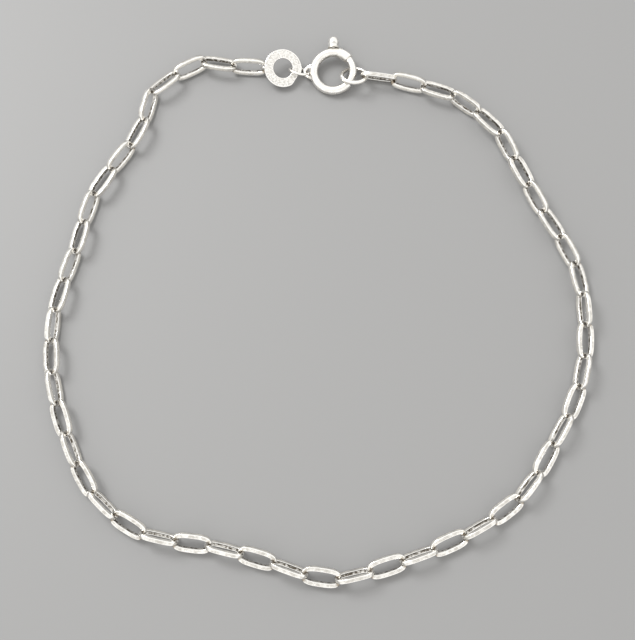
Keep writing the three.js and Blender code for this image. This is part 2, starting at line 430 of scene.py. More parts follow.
@dataclass
class Graph:
    """A writer of one node tree."""

    tree: bpy.types.NodeTree

    def add(self, kind: str, inputs: Mapping[str | int, object] | None = None,
            **settings: object) -> Node:
        """Adds a node.

        Args:
            kind: Its type.
            inputs: What its inputs take, as feed has it.
            **settings: Its properties.

        Returns:
            The node.
        """
        node = self.tree.nodes.new(kind)
        for name, value in settings.items():
            setattr(node, name, value)
        return self.feed(node, inputs or {})

    def feed(self, node: Node, inputs: Mapping[str | int, object]) -> Node:
        """Feeds a node's inputs.

        Args:
            node: The node.
            inputs: Other nodes' outputs or constants, by the inputs' names or numbers. A
                colour is three numbers.

        Returns:
            The node.
        """
        for name, value in inputs.items():
            socket = node.inputs[name]
            if isinstance(value, Socket):
                self.tree.links.new(value, socket)
            else:
                socket.default_value = (*value, 1.0) if socket.type == "RGBA" else value
        return node

    def through(self, node: Node, kind: str, *values: object) -> Socket:
        """Feeds a node's first inputs of one type, which can share names with others.

        Args:
            node: The node.
            kind: The sockets' type.
            *values: Other nodes' outputs or constants.

        Returns:
            The node's first output of that type, or simply its first if it has none.
        """
        places = [place for place, socket in enumerate(node.inputs) if socket.type == kind]
        self.feed(node, dict(zip(places, values)))
        return next((socket for socket in node.outputs if socket.type == kind), node.outputs[0])

    def noise(self, vector: Socket, pattern: Pattern) -> Socket:
        """Reads a pattern at a vector."""
        return self.add("ShaderNodeTexNoise", {
            "Vector": vector, "Scale": pattern.scale, "Detail": pattern.detail,
            "Roughness": pattern.roughness}).outputs["Fac"]

    def patches(self, vector: Socket, pattern: Pattern, share: float = 1.0) -> Socket:
        """Reads a share of a pattern's patches at a vector."""
        ends = (end * share for end in pattern.ends)
        return self.spread(self.noise(vector, pattern), *pattern.span, *ends)

    def spread(self, value: Socket, low: float, high: float, to_low: float = 0.0,
               to_high: float = 1.0) -> Socket:
        """Maps a value smoothly from one range to another, held inside it."""
        return self.add("ShaderNodeMapRange", {
            "Value": value, "From Min": low, "From Max": high, "To Min": to_low,
            "To Max": to_high}, interpolation_type="SMOOTHSTEP").outputs["Result"]

    def maths(self, operation: str, first: Socket | float, second: Socket | float) -> Socket:
        """Joins two values by a sum, product or other operation."""
        node = self.add("ShaderNodeMath", {0: first, 1: second}, operation=operation)
        return node.outputs["Value"]

    def product(self, first: Socket, second: Socket | float) -> Socket:
        """Multiplies two values."""
        return self.maths("MULTIPLY", first, second)

    def blend(self, factor: Socket, first: Triple | Socket, second: Triple | Socket) -> Socket:
        """Mixes two colours; the factor says how much of the second shows."""
        node = self.add("ShaderNodeMix", {"Factor": factor}, data_type="RGBA")
        return self.through(node, "RGBA", first, second)

    def trait(self, trait: Trait) -> Socket:
        """Reads one of the mesh's own attributes."""
        return self.add("ShaderNodeAttribute", attribute_name=trait.value).outputs["Fac"]

    def surface(self, output: str) -> Socket:
        """Reads one of the surface's own vectors: its place, its normal or its direction."""
        return self.add("ShaderNodeTexCoord").outputs[output]

    def height(self, vector: Socket) -> Socket:
        """Gives a vector's Z."""
        return self.add("ShaderNodeSeparateXYZ", {"Vector": vector}).outputs["Z"]

    def stretched(self, vector: Socket, scale: Sequence[float]) -> Socket:
        """Multiplies a vector's parts by three scales."""
        return self.add("ShaderNodeMapping", {"Vector": vector, "Scale": scale}).outputs["Vector"]

    def wire(self, scale: Pair) -> Socket:
        """Reads how far the surface is along and round its wire, multiplied by two scales."""
        place = self.add("ShaderNodeUVMap", uv_map=WIRE_MAP).outputs["UV"]
        return self.stretched(place, (*scale, 1.0))


@dataclass(frozen=True)
class SilverFinish:
    """How a piece of sterling silver is finished and worn.

    Scales are in lumps a millimetre, and shares run from 0 for none to 1 for all. Shade and
    highlights are painted into the colour here: on steep and downward faces, on the links' inner
    faces together with dirt, at bearing bends together with tarnished metal, on low bends, and as
    a brighter colour on worn edges. flank_shade_facing is the span of the normal's Z over which
    the painted shade on steep faces fades out, and low_shade_heights that of the height over
    which the painted shade on low bends does. The other spans are of the mesh's attributes.
    """

    slot: Slot
    bright: Triple
    dull: Triple
    smooth: float
    rough: float
    mottle_scale: float
    mottle_span: Pair
    dent_scale: float
    dent_depth: float
    scratch_depth: float
    streak_share: float
    tone_share: float = 0.0
    # Painted shade on steep and downward faces: its colour, share, span of facing and roughness.
    flank_shade: Triple = (0.42, 0.395, 0.35)
    flank_shade_share: float = 0.8
    flank_shade_facing: Pair = (0.3, 0.82)
    flank_rough: float = 0.5
    # Dirt and painted shade on the inner faces.
    grime_and_shade: Triple = (0.1, 0.085, 0.065)
    grime_and_shade_share: float = 0.0
    inner_span: Pair = (0.5, 0.95)
    # Worn edges: painted brighter as a highlight, and made glossier.
    edge_highlight_colour: Triple = (0.95, 0.94, 0.915)
    edge_polish_and_highlight: float = 0.0
    edge_span: Pair = (0.6, 1.0)
    # Painted shade with tarnished metal at bearing bends; the same colour paints shade on low
    # bends.
    tarnish_and_shade: Triple = (0.30, 0.25, 0.19)
    bend_tarnish_and_shade_share: float = 0.0
    # Painted shade on the low parts of bends, by height.
    low_shade_share: float = 0.0
    low_shade_heights: Pair = (0.95, 1.22)
    bend_span: Pair = (0.12, 0.6)
    scratch_scale: Pair = (1.5, 22.0)
    streak_scale: Pair = (0.9, 7.0)

    @property
    def name(self) -> str:
        """The material's name."""
        return f"worn_{self.slot.value}"

    def material(self) -> bpy.types.Material:
        """Makes the finish's material."""
        made = bpy.data.materials.new(self.name)
        made.use_nodes = True
        silver = SilverTree(made.node_tree, self)
        silver.feed(made.node_tree.nodes["Principled BSDF"], {
            "Metallic": 1.0, "Base Color": silver.colour(), "Roughness": silver.gloss(),
            "Normal": silver.relief()})
        return made


@dataclass
class SilverTree(Graph):
    """The node tree of one finish's material, made from patterns and the mesh's attributes.

    Place is where the surface is in millimetres, mottle how bright the metal is, and
    shaded_flanks
    how much painted shade a face takes: the steep and downward ones.
    """

    finish: SilverFinish
    place: Socket = field(init=False)
    mottle: Socket = field(init=False)
    shaded_flanks: Socket = field(init=False)

    def __post_init__(self) -> None:
        """Adds what both the colour and the gloss follow."""
        look = self.finish
        self.place = self.stretched(self.surface("Object"), (1 / MM, 1 / MM, 1 / MM))
        self.mottle = self.patches(self.place, Pattern(
            scale=look.mottle_scale, detail=5.0, roughness=0.6, span=look.mottle_span))
        # Painted shade: faces that turn away from straight up take the darker side colour, in
        # patches.
        steep = self.spread(self.height(self.surface("Normal")), *look.flank_shade_facing,
                            look.flank_shade_share, 0.0)
        self.shaded_flanks = self.product(steep, self.patches(self.place, FLANK_PATCHES))

    def colour(self) -> Socket:
        """Gives the colour: the metal with painted shade on its steep faces, then dirt and
        painted shade inside, worn edges painted brighter as a highlight, and painted shade with
        tarnished patches at the bends.
        """
        look, colour = self.finish, self._metal()
        inward, bend = self.trait(Trait.INWARD), self.trait(Trait.BEND)
        # Dirt and painted shade: the inner faces darken in patches.
        if look.grime_and_shade_share:
            grime_and_shade = self.patches(self.place, GRIME_AND_SHADE_PATCHES, look.grime_and_shade_share)
            inside = self.product(self.spread(inward, *look.inner_span), grime_and_shade)
            colour = self.blend(inside, colour, look.grime_and_shade)
        # Painted highlight on worn edges: their colour is made brighter.
        if look.edge_polish_and_highlight:
            rubbed_and_highlit = self.spread(self.trait(Trait.EDGE), *look.edge_span, 0.0, look.edge_polish_and_highlight)
            colour = self.blend(rubbed_and_highlit, colour, look.edge_highlight_colour)
        # Painted shade where bends bear on their neighbours, in patches of tarnished metal.
        if look.bend_tarnish_and_shade_share:
            bearing = self.product(self.product(bend, inward), look.bend_tarnish_and_shade_share)
            patchy = self.patches(self.place, TARNISH_AND_SHADE_PATCHES)
            colour = self.blend(self.product(bearing, patchy), colour, look.tarnish_and_shade)
        # Painted shade: the bends darken below a height.
        if look.low_shade_share:
            low = self.spread(self.height(self.place), *look.low_shade_heights, look.low_shade_share, 0.0)
            bent = self.product(low, self.spread(bend, *look.bend_span))
            colour = self.blend(bent, colour, look.tarnish_and_shade)
        return colour

    def gloss(self) -> Socket:
        """Gives the roughness: more on dull patches and steep faces, less on polished edges."""
        look = self.finish
        rough = self.maths("MAXIMUM", self.spread(self.mottle, 0.0, 1.0, look.rough, look.smooth),
                           self.product(self.shaded_flanks, look.flank_rough))
        if not look.edge_polish_and_highlight:
            return rough
        polish = self.product(self.trait(Trait.EDGE), look.edge_polish_and_highlight)
        return self.product(rough, self.maths("SUBTRACT", 1.0, polish))

    def relief(self) -> Socket:
        """Gives the shading normal: shallow dents, and scratches that run along the wire."""
        look = self.finish
        dents = Pattern(scale=look.dent_scale, detail=4.0, roughness=0.5)
        dented = self.add("ShaderNodeBump", {
            "Distance": look.dent_depth * MM, "Height": self.noise(self.place, dents)})
        return self.add("ShaderNodeBump", {
            "Distance": look.scratch_depth * MM, "Normal": dented.outputs["Normal"],
            "Height": self.noise(self.wire(look.scratch_scale), SCRATCHES)}).outputs["Normal"]

    def _metal(self) -> Socket:
        """Mixes bright and dull metal by mottling, each link's tone and streaks, then paints
        shade on steep faces.
        """
        look = self.finish
        colour = self.blend(self.mottle, look.dull, look.bright)
        if look.tone_share:
            shade = self.spread(self.trait(Trait.TONE), 0.0, 1.0, look.tone_share, 0.0)
            colour = self.blend(shade, colour, look.dull)
        streaks = self.patches(self.wire(look.streak_scale), STREAKS, look.streak_share)
        # Painted shade on the steep and downward faces.
        return self.blend(self.shaded_flanks, self.blend(streaks, colour, look.dull), look.flank_shade)


# The finishes below paint shade and highlights as far as their shares say.
FILED_SILVER = SilverFinish(
    slot=Slot.FILED, bright=(0.9, 0.885, 0.85), dull=(0.57, 0.55, 0.51), smooth=0.28, rough=0.45,
    mottle_scale=1.8, mottle_span=(0.36, 0.62), dent_scale=1.6, dent_depth=0.014,
    scratch_depth=0.002, streak_share=0.6, tone_share=0.2, flank_shade=(0.74, 0.715, 0.66),
    flank_shade_share=0.9, flank_shade_facing=(0.55, 0.75), flank_rough=0.8, grime_and_shade_share=1.0,
    edge_polish_and_highlight=0.9, bend_tarnish_and_shade_share=0.9, low_shade_share=0.95)
STAMPED_SILVER = SilverFinish(
    slot=Slot.STAMPED, bright=(0.93, 0.915, 0.885), dull=(0.6, 0.585, 0.55), smooth=0.32,
    rough=0.5, mottle_scale=5.0, mottle_span=(0.34, 0.6), dent_scale=5.0, dent_depth=0.035,
    scratch_depth=0.003, streak_share=0.25, edge_polish_and_highlight=0.9)
POLISHED_SILVER = SilverFinish(
    slot=Slot.POLISHED, bright=(0.93, 0.915, 0.885), dull=(0.78, 0.76, 0.725), smooth=0.2,
    rough=0.34, mottle_scale=0.8, mottle_span=(0.3, 0.6), dent_scale=1.1, dent_depth=0.006,
    scratch_depth=0.0012, streak_share=0.35, flank_shade=(0.8, 0.775, 0.73), flank_shade_share=0.9,
    flank_shade_facing=(0.2, 0.6), flank_rough=0.7, grime_and_shade_share=0.4)


class Part:
    """A piece: its finish, the body that it rides on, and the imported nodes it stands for."""

    finish: SilverFinish = POLISHED_SILVER
    body: Body = Body.BRACELET
    nodes: Sequence[str] = ()

    def build(self) -> Object:
        """Makes the piece's mesh."""
        raise NotImplementedError

    def make(self) -> Object:
        """Builds and dresses the piece."""
        return self.dress(self.build())

    def dress(self, piece: Object) -> Object:
        """Gives the built piece its finish and hangs it on its body in place of its nodes.

        Args:
            piece: The piece.

        Returns:
            The piece.
        """
        material = bpy.data.materials.get(self.finish.name) or self.finish.material()
        piece.data.materials.clear()
        piece.data.materials.append(material)
        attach(piece, self.body.value)
        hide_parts(*self.nodes)
        LOG.info("%s: %d faces, on %s", piece.name, len(piece.data.polygons), self.body.value)
        return piece


# ---- The chain ----


@dataclass
class Route:
    """The chain's route through its joints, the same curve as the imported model's."""

    points: Sequence[Pair] = (
        (-6.35, 27.4), (-10.1, 27.6), (-13.7, 28.1), (-16.8, 26.3), (-19.3, 24.1),
        (-20.0, 20.8), (-21.5, 17.6), (-25.3, 11.9), (-27.1, 5.1), (-29.0, -1.7),
        (-29.0, -8.6), (-27.1, -15.5), (-23.9, -21.9), (-18.4, -26.1), (-11.4, -27.3),
        (-4.6, -29.15), (-1.2, -30.35), (2.2, -30.75), (8.8, -28.9), (15.3, -26.3),
        (21.3, -22.3), (25.0, -16.7), (28.2, -10.3), (29.2, -3.4), (28.4, 3.6), (25.1, 9.9),
        (22.1, 16.2), (20.6, 19.4), (18.0, 22.0), (15.2, 24.0), (8.3, 26.0), (4.9, 26.4))
    height: float = 1.053
    end_rise: float = 0.14
    rise_length: float = 7.0
    divisions: int = 3000
    corrections: int = 6
    _shares: np.ndarray = field(init=False, repr=False)
    _lengths: np.ndarray = field(init=False, repr=False)

    def __post_init__(self) -> None:
        """Measures the curve once."""
        self._shares = np.linspace(0, 1, self.divisions + 1)
        places = [self._at_share(share) for share in self._shares]
        steps = [(after - here).length for here, after in zip(places, places[1:])]
        self._lengths = np.concatenate([[0.0], np.cumsum(steps)])

    def _at_share(self, share: float) -> Vector:
        """Gives the level point at a share of the curve's spans, by the Catmull-Rom rule."""
        last = len(self.points) - 2
        span = min(int(share * (last + 1)), last)
        t = share * (last + 1) - span
        row = [Vector(point) for point in self.points]
        before = row[span - 1] if span else 2 * row[0] - row[1]
        after = row[span + 2] if span < last else 2 * row[-1] - row[-2]
        start, end = row[span], row[span + 1]
        leave, arrive = (end - before) / 2, (after - start) / 2
        return (start + leave * t + (3 * (end - start) - 2 * leave - arrive) * t ** 2
                + (2 * (start - end) + leave + arrive) * t ** 3)

    def at(self, distance: float) -> Vector:
        """Gives the links' axis at a distance along the route; it rises near the clasp."""
        flat = self._at_share(float(np.interp(distance, self._lengths, self._shares)))
        past = distance - float(self._lengths[-1]) + self.rise_length
        rise = self.end_rise * eased(past / self.rise_length)
        return Vector((flat.x, flat.y, self.height + rise))

    def joints(self, pitch: float, count: int) -> list[Vector]:
        """Walks the route by straight steps.

        Args:
            pitch: Length of a step.
            count: Number of steps.

        Returns:
            The points between the steps, the first and last among them.
        """
        distance, places = 0.0, [self.at(0.0)]
        for _ in range(count):
            start, distance = places[-1], distance + pitch
            for _ in range(self.corrections):
                distance += pitch - (self.at(distance) - start).length
            places.append(self.at(distance))
        return places


@dataclass
class TraceChain(Part):
    """Fifty oval links, filed square. Lengths and widths are between wire centres.

    The links have rails along their sides, and bends at their ends. A rail starts where the way
    out of the link points far enough sideways, which is rail_from, and is full rail_blend on.
    """

    link_count: int = 50
    length: float = 3.934
    width: float = 1.63
    ovalness: float = 3.0
    rail_wire: float = 0.5
    bend_wire: float = 0.33
    rail_corner: float = 0.065
    bend_corner: float = 0.1
    rail_from: float = 0.6
    rail_blend: float = 0.39
    joint_gap: float = 0.42
    inner_up_roll: float = math.radians(30)
    outer_up_roll: float = math.radians(-60)
    last_roll: float = math.radians(-101)
    roll_scatter: float = math.radians(6)
    stations: int = 44
    fine_stations: int = 4001
    seed: int = 11
    route: Route = field(default_factory=Route)
    finish = FILED_SILVER
    nodes = tuple(f"chain_run_{run:02d}" for run in range(1, 11))

    @property
    def pitch(self) -> float:
        """Distance from joint to joint."""
        return self.length - self.joint_gap

    def first_joint(self) -> tuple[Vector, Vector]:
        """Gives the first joint and the direction of the first link from it."""
        start, end = self.route.joints(self.pitch, 1)
        return start, (end - start).normalized()

    def build(self) -> Object:
        """Makes all the links along the route as one mesh, by Geometry Nodes."""
        joints = self.route.joints(self.pitch, self.link_count)
        mesh = bpy.data.meshes.new("filed_links")
        spans = [(i, i + 1) for i in range(self.link_count)]
        mesh.from_pydata([joint * MM for joint in joints], spans, [])
        chain, link = linked(mesh, "filed_links"), self._link()
        modifier = chain.modifiers.new("links", "NODES")
        modifier.node_group = LinkTree().build()
        values = {
            "Link": link, "Link count": self.link_count, "Inner-up roll": self.inner_up_roll,
            "Outer-up roll": self.outer_up_roll, "Last roll": self.last_roll,
            "Roll scatter": self.roll_scatter, "Seed": self.seed,
            "Finish": self.finish.material()}
        for item in modifier.node_group.interface.items_tree:
            if item.name in values:
                modifier[item.identifier] = values[item.name]
        settled(chain).data.shade_smooth()
        bpy.data.objects.remove(link)
        return evened(chain)

    def _oval(self, angle: float) -> tuple[Vector, Vector]:
        """Gives a point of the link's centre line at an angle, and the way out of the link."""
        power = 2 / self.ovalness
        cosine, sine = math.cos(angle), math.sin(angle)
        x = math.copysign(abs(cosine) ** power, cosine)
        y = math.copysign(abs(sine) ** power, sine)
        out_x = math.copysign(abs(cosine) ** (2 - power), cosine) * self.width
        out_y = math.copysign(abs(sine) ** (2 - power), sine) * self.length
        place = Vector((x * self.length / 2, y * self.width / 2, 0))
        return place, Vector((out_x, out_y, 0)).normalized()

    def _angles(self) -> list[float]:
        """Picks the stations' angles so that each takes a like share of length and turning."""
        fine = np.linspace(0, 2 * math.pi, self.fine_stations)
        ovals = [self._oval(angle) for angle in fine]
        measure = [0.0]
        around = 2 * (self.length + self.width)
        for (place, out), (place_after, out_after) in zip(ovals, ovals[1:]):
            turned = out.angle(out_after)
            measure.append(measure[-1] + (place_after - place).length / around
                           + turned / (2 * math.pi))
        marks = np.arange(self.stations) / self.stations * measure[-1]
        return [float(angle) for angle in np.interp(marks, measure, fine)]

    def _link(self) -> Object:
        """Makes one link round its own middle, its long way along X."""
        frames, sections, bearing = [], [], []
        for angle in self._angles():
            place, out = self._oval(angle)
            rail = eased((abs(out.y) - self.rail_from) / self.rail_blend)
            wire = self.bend_wire + (self.rail_wire - self.bend_wire) * rail
            corner = self.bend_corner + (self.rail_corner - self.bend_corner) * rail
            frames.append(frame_of(out, UP, place))
            sections.append(filed_section(wire, wire, corner))
            bearing.append(1 - rail)
        return Sweep(frames, sections, closed=True, bearing=bearing).object("link_form")


# The link tree's inputs and their types.
LINK_INPUTS = {
    "Geometry": "Geometry", "Link": "Object", "Link count": "Int", "Inner-up roll": "Float",
    "Outer-up roll": "Float", "Last roll": "Float", "Roll scatter": "Float", "Seed": "Int",
    "Finish": "Material"}


class LinkTree(Graph):
    """The node tree that lays a link along each edge of the joints' line."""

    def __init__(self) -> None:
        super().__init__(bpy.data.node_groups.new("links_along_joints", "GeometryNodeTree"))
        face = self.tree.interface
        for name, kind in LINK_INPUTS.items():
            face.new_socket(name=name, in_out="INPUT", socket_type=f"NodeSocket{kind}")
        face.new_socket(name="Geometry", in_out="OUTPUT", socket_type="NodeSocketGeometry")
        self.given = self.add("NodeGroupInput").outputs

    def build(self) -> bpy.types.NodeTree:
        """Joins the nodes from the joints' line to the finished links."""
        link = self.add("GeometryNodeObjectInfo", {"Object": self.given["Link"]})
        laid = self.add("GeometryNodeInstanceOnPoints", {
            "Points": self._points(), "Instance": link.outputs["Geometry"],
            "Rotation": self._rotation()})
        toned = self._stored(laid.outputs["Instances"], "INSTANCE", Trait.TONE.value,
                             self._random(0.0, 1.0), "FLOAT")
        whole = self.add("GeometryNodeRealizeInstances", {"Geometry": toned})
        finish = self.add("GeometryNodeSetMaterial", {
            "Geometry": whole.outputs["Geometry"], "Material": self.given["Finish"]})
        self.add("NodeGroupOutput", {"Geometry": finish.outputs["Geometry"]})
        return self.tree

    def _stored(self, geometry: Socket, domain: str, name: str, value: Socket,
                kind: str) -> Socket:
        """Stores a value on each edge or instance of the geometry, under a name."""
        return self.add("GeometryNodeStoreNamedAttribute", {
            "Geometry": geometry, "Name": name, "Value": value}, data_type=kind, domain=domain,
            ).outputs["Geometry"]

    def _points(self) -> Socket:
        """Turns each edge into a point at its middle that remembers the edge's direction."""
        ends = self.add("GeometryNodeInputMeshEdgeVertices").outputs
        along = self.add("ShaderNodeVectorMath", {0: ends["Position 2"], 1: ends["Position 1"]},
                         operation="SUBTRACT")
        stored = self._stored(self.given["Geometry"], "EDGE", "direction",
                              along.outputs["Vector"], "FLOAT_VECTOR")
        return self.add("GeometryNodeMeshToPoints", {"Mesh": stored},
                        mode="EDGES").outputs["Points"]

    def _random(self, low: float, high: float) -> Socket:
        """Gives each link its own number between two, by the seed."""
        node = self.add("FunctionNodeRandomValue", {"Seed": self.given["Seed"]},
                        data_type="FLOAT")
        return self.through(node, "VALUE", low, high)

    def _rotation(self) -> Socket:
        """Turns a link along its edge and rolls it as its number says."""
        direction = self.add("GeometryNodeInputNamedAttribute", {"Name": "direction"},
                             data_type="FLOAT_VECTOR")
        axes = self.add("FunctionNodeAxesToRotation", {
            "Primary Axis": direction.outputs["Attribute"], "Secondary Axis": UP},
            primary_axis="X", secondary_axis="Z")
        turn = self.add("FunctionNodeAxisAngleToRotation", {
            "Axis": (1, 0, 0), "Angle": self._roll()})
        return self.add("FunctionNodeRotateRotation", {
            "Rotation": axes.outputs["Rotation"], "Rotate By": turn.outputs["Rotation"]},
            rotation_space="LOCAL").outputs["Rotation"]

    def _roll(self) -> Socket:
        """Picks the roll: turn by turn the outer or the inner rail up, and the last on edge."""
        index = self.add("GeometryNodeInputIndex").outputs["Index"]
        parity = self.add("FunctionNodeIntegerMath", {0: index, 1: 2}, operation="MODULO")
        roll = self._picked(parity.outputs["Value"], self.given["Inner-up roll"],
                            self.given["Outer-up roll"])
        scattered = self.add("ShaderNodeMath", {
            0: self._random(-1.0, 1.0), 1: self.given["Roll scatter"], 2: roll},
            operation="MULTIPLY_ADD")
        last = self.add("FunctionNodeIntegerMath", {0: self.given["Link count"], 1: 1},
                        operation="SUBTRACT")
        same = self.add("FunctionNodeCompare", data_type="INT", operation="EQUAL")
        return self._picked(self.through(same, "INT", index, last.outputs["Value"]),
                            self.given["Last roll"], scattered.outputs["Value"])

    def _picked(self, test: Socket, true: Socket, false: Socket) -> Socket:
        """Picks one of two numbers by a test."""
        return self.add("GeometryNodeSwitch", {"Switch": test, "True": true, "False": false},
                        input_type="FLOAT").outputs["Output"]


# ---- Rings ----


@dataclass
class WireRing(Part):
    """A ring of round wire in its frame's XY plane; a seam is the hairline where it closes."""

    name: str
    radius: float
    wire: float
    frame: Matrix
    nodes: Sequence[str] = ()
    seam: float | None = None
    seam_depth: float = 0.025
    stations: int = 72
    sides: int = 20

    def build(self) -> Object:
        """Makes the ring."""
        frames, sections = [], []
        for step in range(self.stations):
            angle = 2 * math.pi * step / self.stations
            frames.append(arc_frame(self.radius, angle))
            sections.append(round_section(self.wire / 2 - self._pinch(angle), self.sides))
        return placed(Sweep(frames, sections, closed=True).object(self.name), self.frame)

    def _pinch(self, angle: float) -> float:
        """Says how much thinner the wire is at an angle, which only the seam makes it."""
        if self.seam is None:
            return 0.0
        away = abs((angle - self.seam + math.pi) % (2 * math.pi) - math.pi)
        return self.seam_depth * max(0.0, 1 - away * self.stations / math.pi)


@dataclass
class TagRing(Part):
    """The worn flat ring with its saw cut, and the wire eye that takes the chain's first link.

    Its lower end is filed back over a span, and reaches its full depth after filed_ease of it.
    The dents change as often round and across the ring as dents_round and dents_across say.
    """

    chain: TraceChain
    outer: float = 2.18
    bore: float = 1.12
    thick: float = 0.32
    rim: float = 0.09
    slit: float = 0.16
    slit_angle: float = math.radians(-18)
    filed_back: float = 0.24
    filed_span: float = math.radians(46)
    filed_ease: float = 0.6
    lean_north: float = math.radians(18)
    lean_west: float = math.radians(11)
    eye_radius: float = 0.47
    eye_wire: float = 0.32
    eye_roll: float = math.radians(60)
    stations: int = 120
    flat_steps: int = 4
    dent: float = 0.018
    dent_base: float = 0.5
    dents_round: float = 1.9
    dents_across: float = 1.6
    faces_apart: float = 3.0
    finish = STAMPED_SILVER
    nodes = ("tag_ring",)

    def build(self) -> Object:
        """Makes the ring, and its eye round the chain's first link, as one solid."""
        lean = (Matrix.Rotation(self.lean_north, 4, "X")
                @ Matrix.Rotation(self.lean_west, 4, "Y"))
        lean.translation = self._centre(lean.col[2].xyz)
        washer = placed(self._washer(), lean)
        start, along = self.chain.first_joint()
        place = start + along * (self.chain.joint_gap / 2 - self.eye_radius)
        eye = WireRing("tag_eye", self.eye_radius, self.eye_wire,
                       laid_frame(along, place, self.eye_roll), stations=40, sides=14).build()
        return evened(joined(washer, Joining.FUSE, eye))

    def _centre(self, normal: Vector) -> Vector:
        """Finds the washer's middle from its normal and the box that it fills but on the left."""
        low, high = (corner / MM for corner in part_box("tag_ring"))
        reach = Vector([self.outer * math.sqrt(1 - part * part) + self.thick / 2 * abs(part)
                        for part in normal])
        return Vector((high.x - reach.x, (low.y + high.y) / 2, high.z - reach.z))

    def _washer(self) -> Object:
        """Makes the flat ring in the XY plane, gently beaten, its lower end filed narrower."""
        half_slit = self.slit / 2 / self.outer
        start, end = self.slit_angle + half_slit, self.slit_angle + 2 * math.pi - half_slit
        frames, sections = [], []
        for step in range(self.stations):
            angle = start + (end - start) * step / (self.stations - 1)
            filed = eased((angle - end + self.filed_span) / (self.filed_span * self.filed_ease))
            outer = self.outer - self.filed_back * filed
            frames.append(arc_frame((outer + self.bore) / 2, angle))
            sections.append(self._worn_section(outer - self.bore, angle))
        return Sweep(frames, sections).object("tag_ring_stamped")

    def _worn_section(self, width: float, angle: float) -> Section:
        """Works out the washer's section, its flats dented by wear.

        Args:
            width: The washer's width there.
            angle: The angle round it.

        Returns:
            The section.
        """
        plain = filed_section(width, self.thick, self.rim)
        around = Vector((math.cos(angle) * self.dents_round, math.sin(angle) * self.dents_round))
        points: list[SectionPoint] = []
        for here, after in zip(plain, [*plain[1:], plain[0]]):
            points.append(here)
            if abs(after.x - here.x) <= self.rim or abs(here.y) <= self.thick / 4:
                continue
            for step in range(1, self.flat_steps):
                t = step / self.flat_steps
                x = here.x + (after.x - here.x) * t
                across = x * self.dents_across + math.copysign(self.faces_apart, here.y)
                worn = self.dent_base + noise.noise(Vector((*around, across)))
                y = here.y - math.copysign(self.dent * worn, here.y)
                points.append(SectionPoint(x, y, here.edge * (1 - t) ** 2))
        return points


# ---- The clasp ----

# Radius of the circle that the clasp's tube and bolt are bent round.
CLASP_RADIUS = 2.26


def clasp_frame(joint: Mapping[str, object]) -> Matrix:
    """Gives the clasp's frame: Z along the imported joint's axis, X level eastwards."""
    z = Vector(joint["axis"]).normalized()
    y = z.cross(Vector((z.z, 0, -z.x)).normalized()).normalized()
    return frame_of(y.cross(z), y, Vector(joint["pos_m"]) / MM)


def radial_frame(angle: float, reach: float) -> Matrix:
    """Gives the frame of a section that faces out of the clasp's circle, so far outside it."""
    out = Vector((math.cos(angle), math.sin(angle), 0))
    return frame_of(Vector((-out.y, out.x, 0)), UP, out * (CLASP_RADIUS + reach))


def plate(name: str, outline: Section, half: float) -> Object:
    """Makes a plate from an outline in the XY plane, which reaches half above it and below."""
    frames = [Matrix.Translation((0, 0, height)) for height in (-half, half)]
    return Sweep(frames, [outline, outline]).object(name)


@dataclass
class BentRod:
    """A round rod along the clasp's circle, from one angle to another, with rounded ends."""

    name: str
    diameter: float
    start: float
    end: float
    stations: int
    rounding: Pair = (0.0, 0.0)
    rounding_rows: int = 6
    sides: int = 40

    def build(self) -> Object:
        """Makes the rod in the XY plane."""
        first = self.start + self.rounding[0] / CLASP_RADIUS
        last = self.end - self.rounding[1] / CLASP_RADIUS
        steps = [(self.start + lead / CLASP_RADIUS, inset)
                 for lead, inset in self._rounded(self.rounding[0])]
        steps += [(first + (last - first) * step / (self.stations - 1), 0.0)
                  for step in range(self.stations)]
        steps += [(self.end - lead / CLASP_RADIUS, inset)
                  for lead, inset in reversed(self._rounded(self.rounding[1]))]
        frames = [arc_frame(CLASP_RADIUS, angle) for angle, _ in steps]
        sections = [round_section(self.diameter / 2 - inset, self.sides) for _, inset in steps]
        return Sweep(frames, sections).object(self.name)

    def _rounded(self, rounding: float) -> list[Pair]:
        """Gives how far in from the end and from the side each row of a rounded end is."""
        turns = [math.pi / 2 * row / self.rounding_rows for row in range(self.rounding_rows)]
        return [(rounding * (1 - math.cos(turn)), rounding * (1 - math.sin(turn)))
                for turn in turns if rounding]


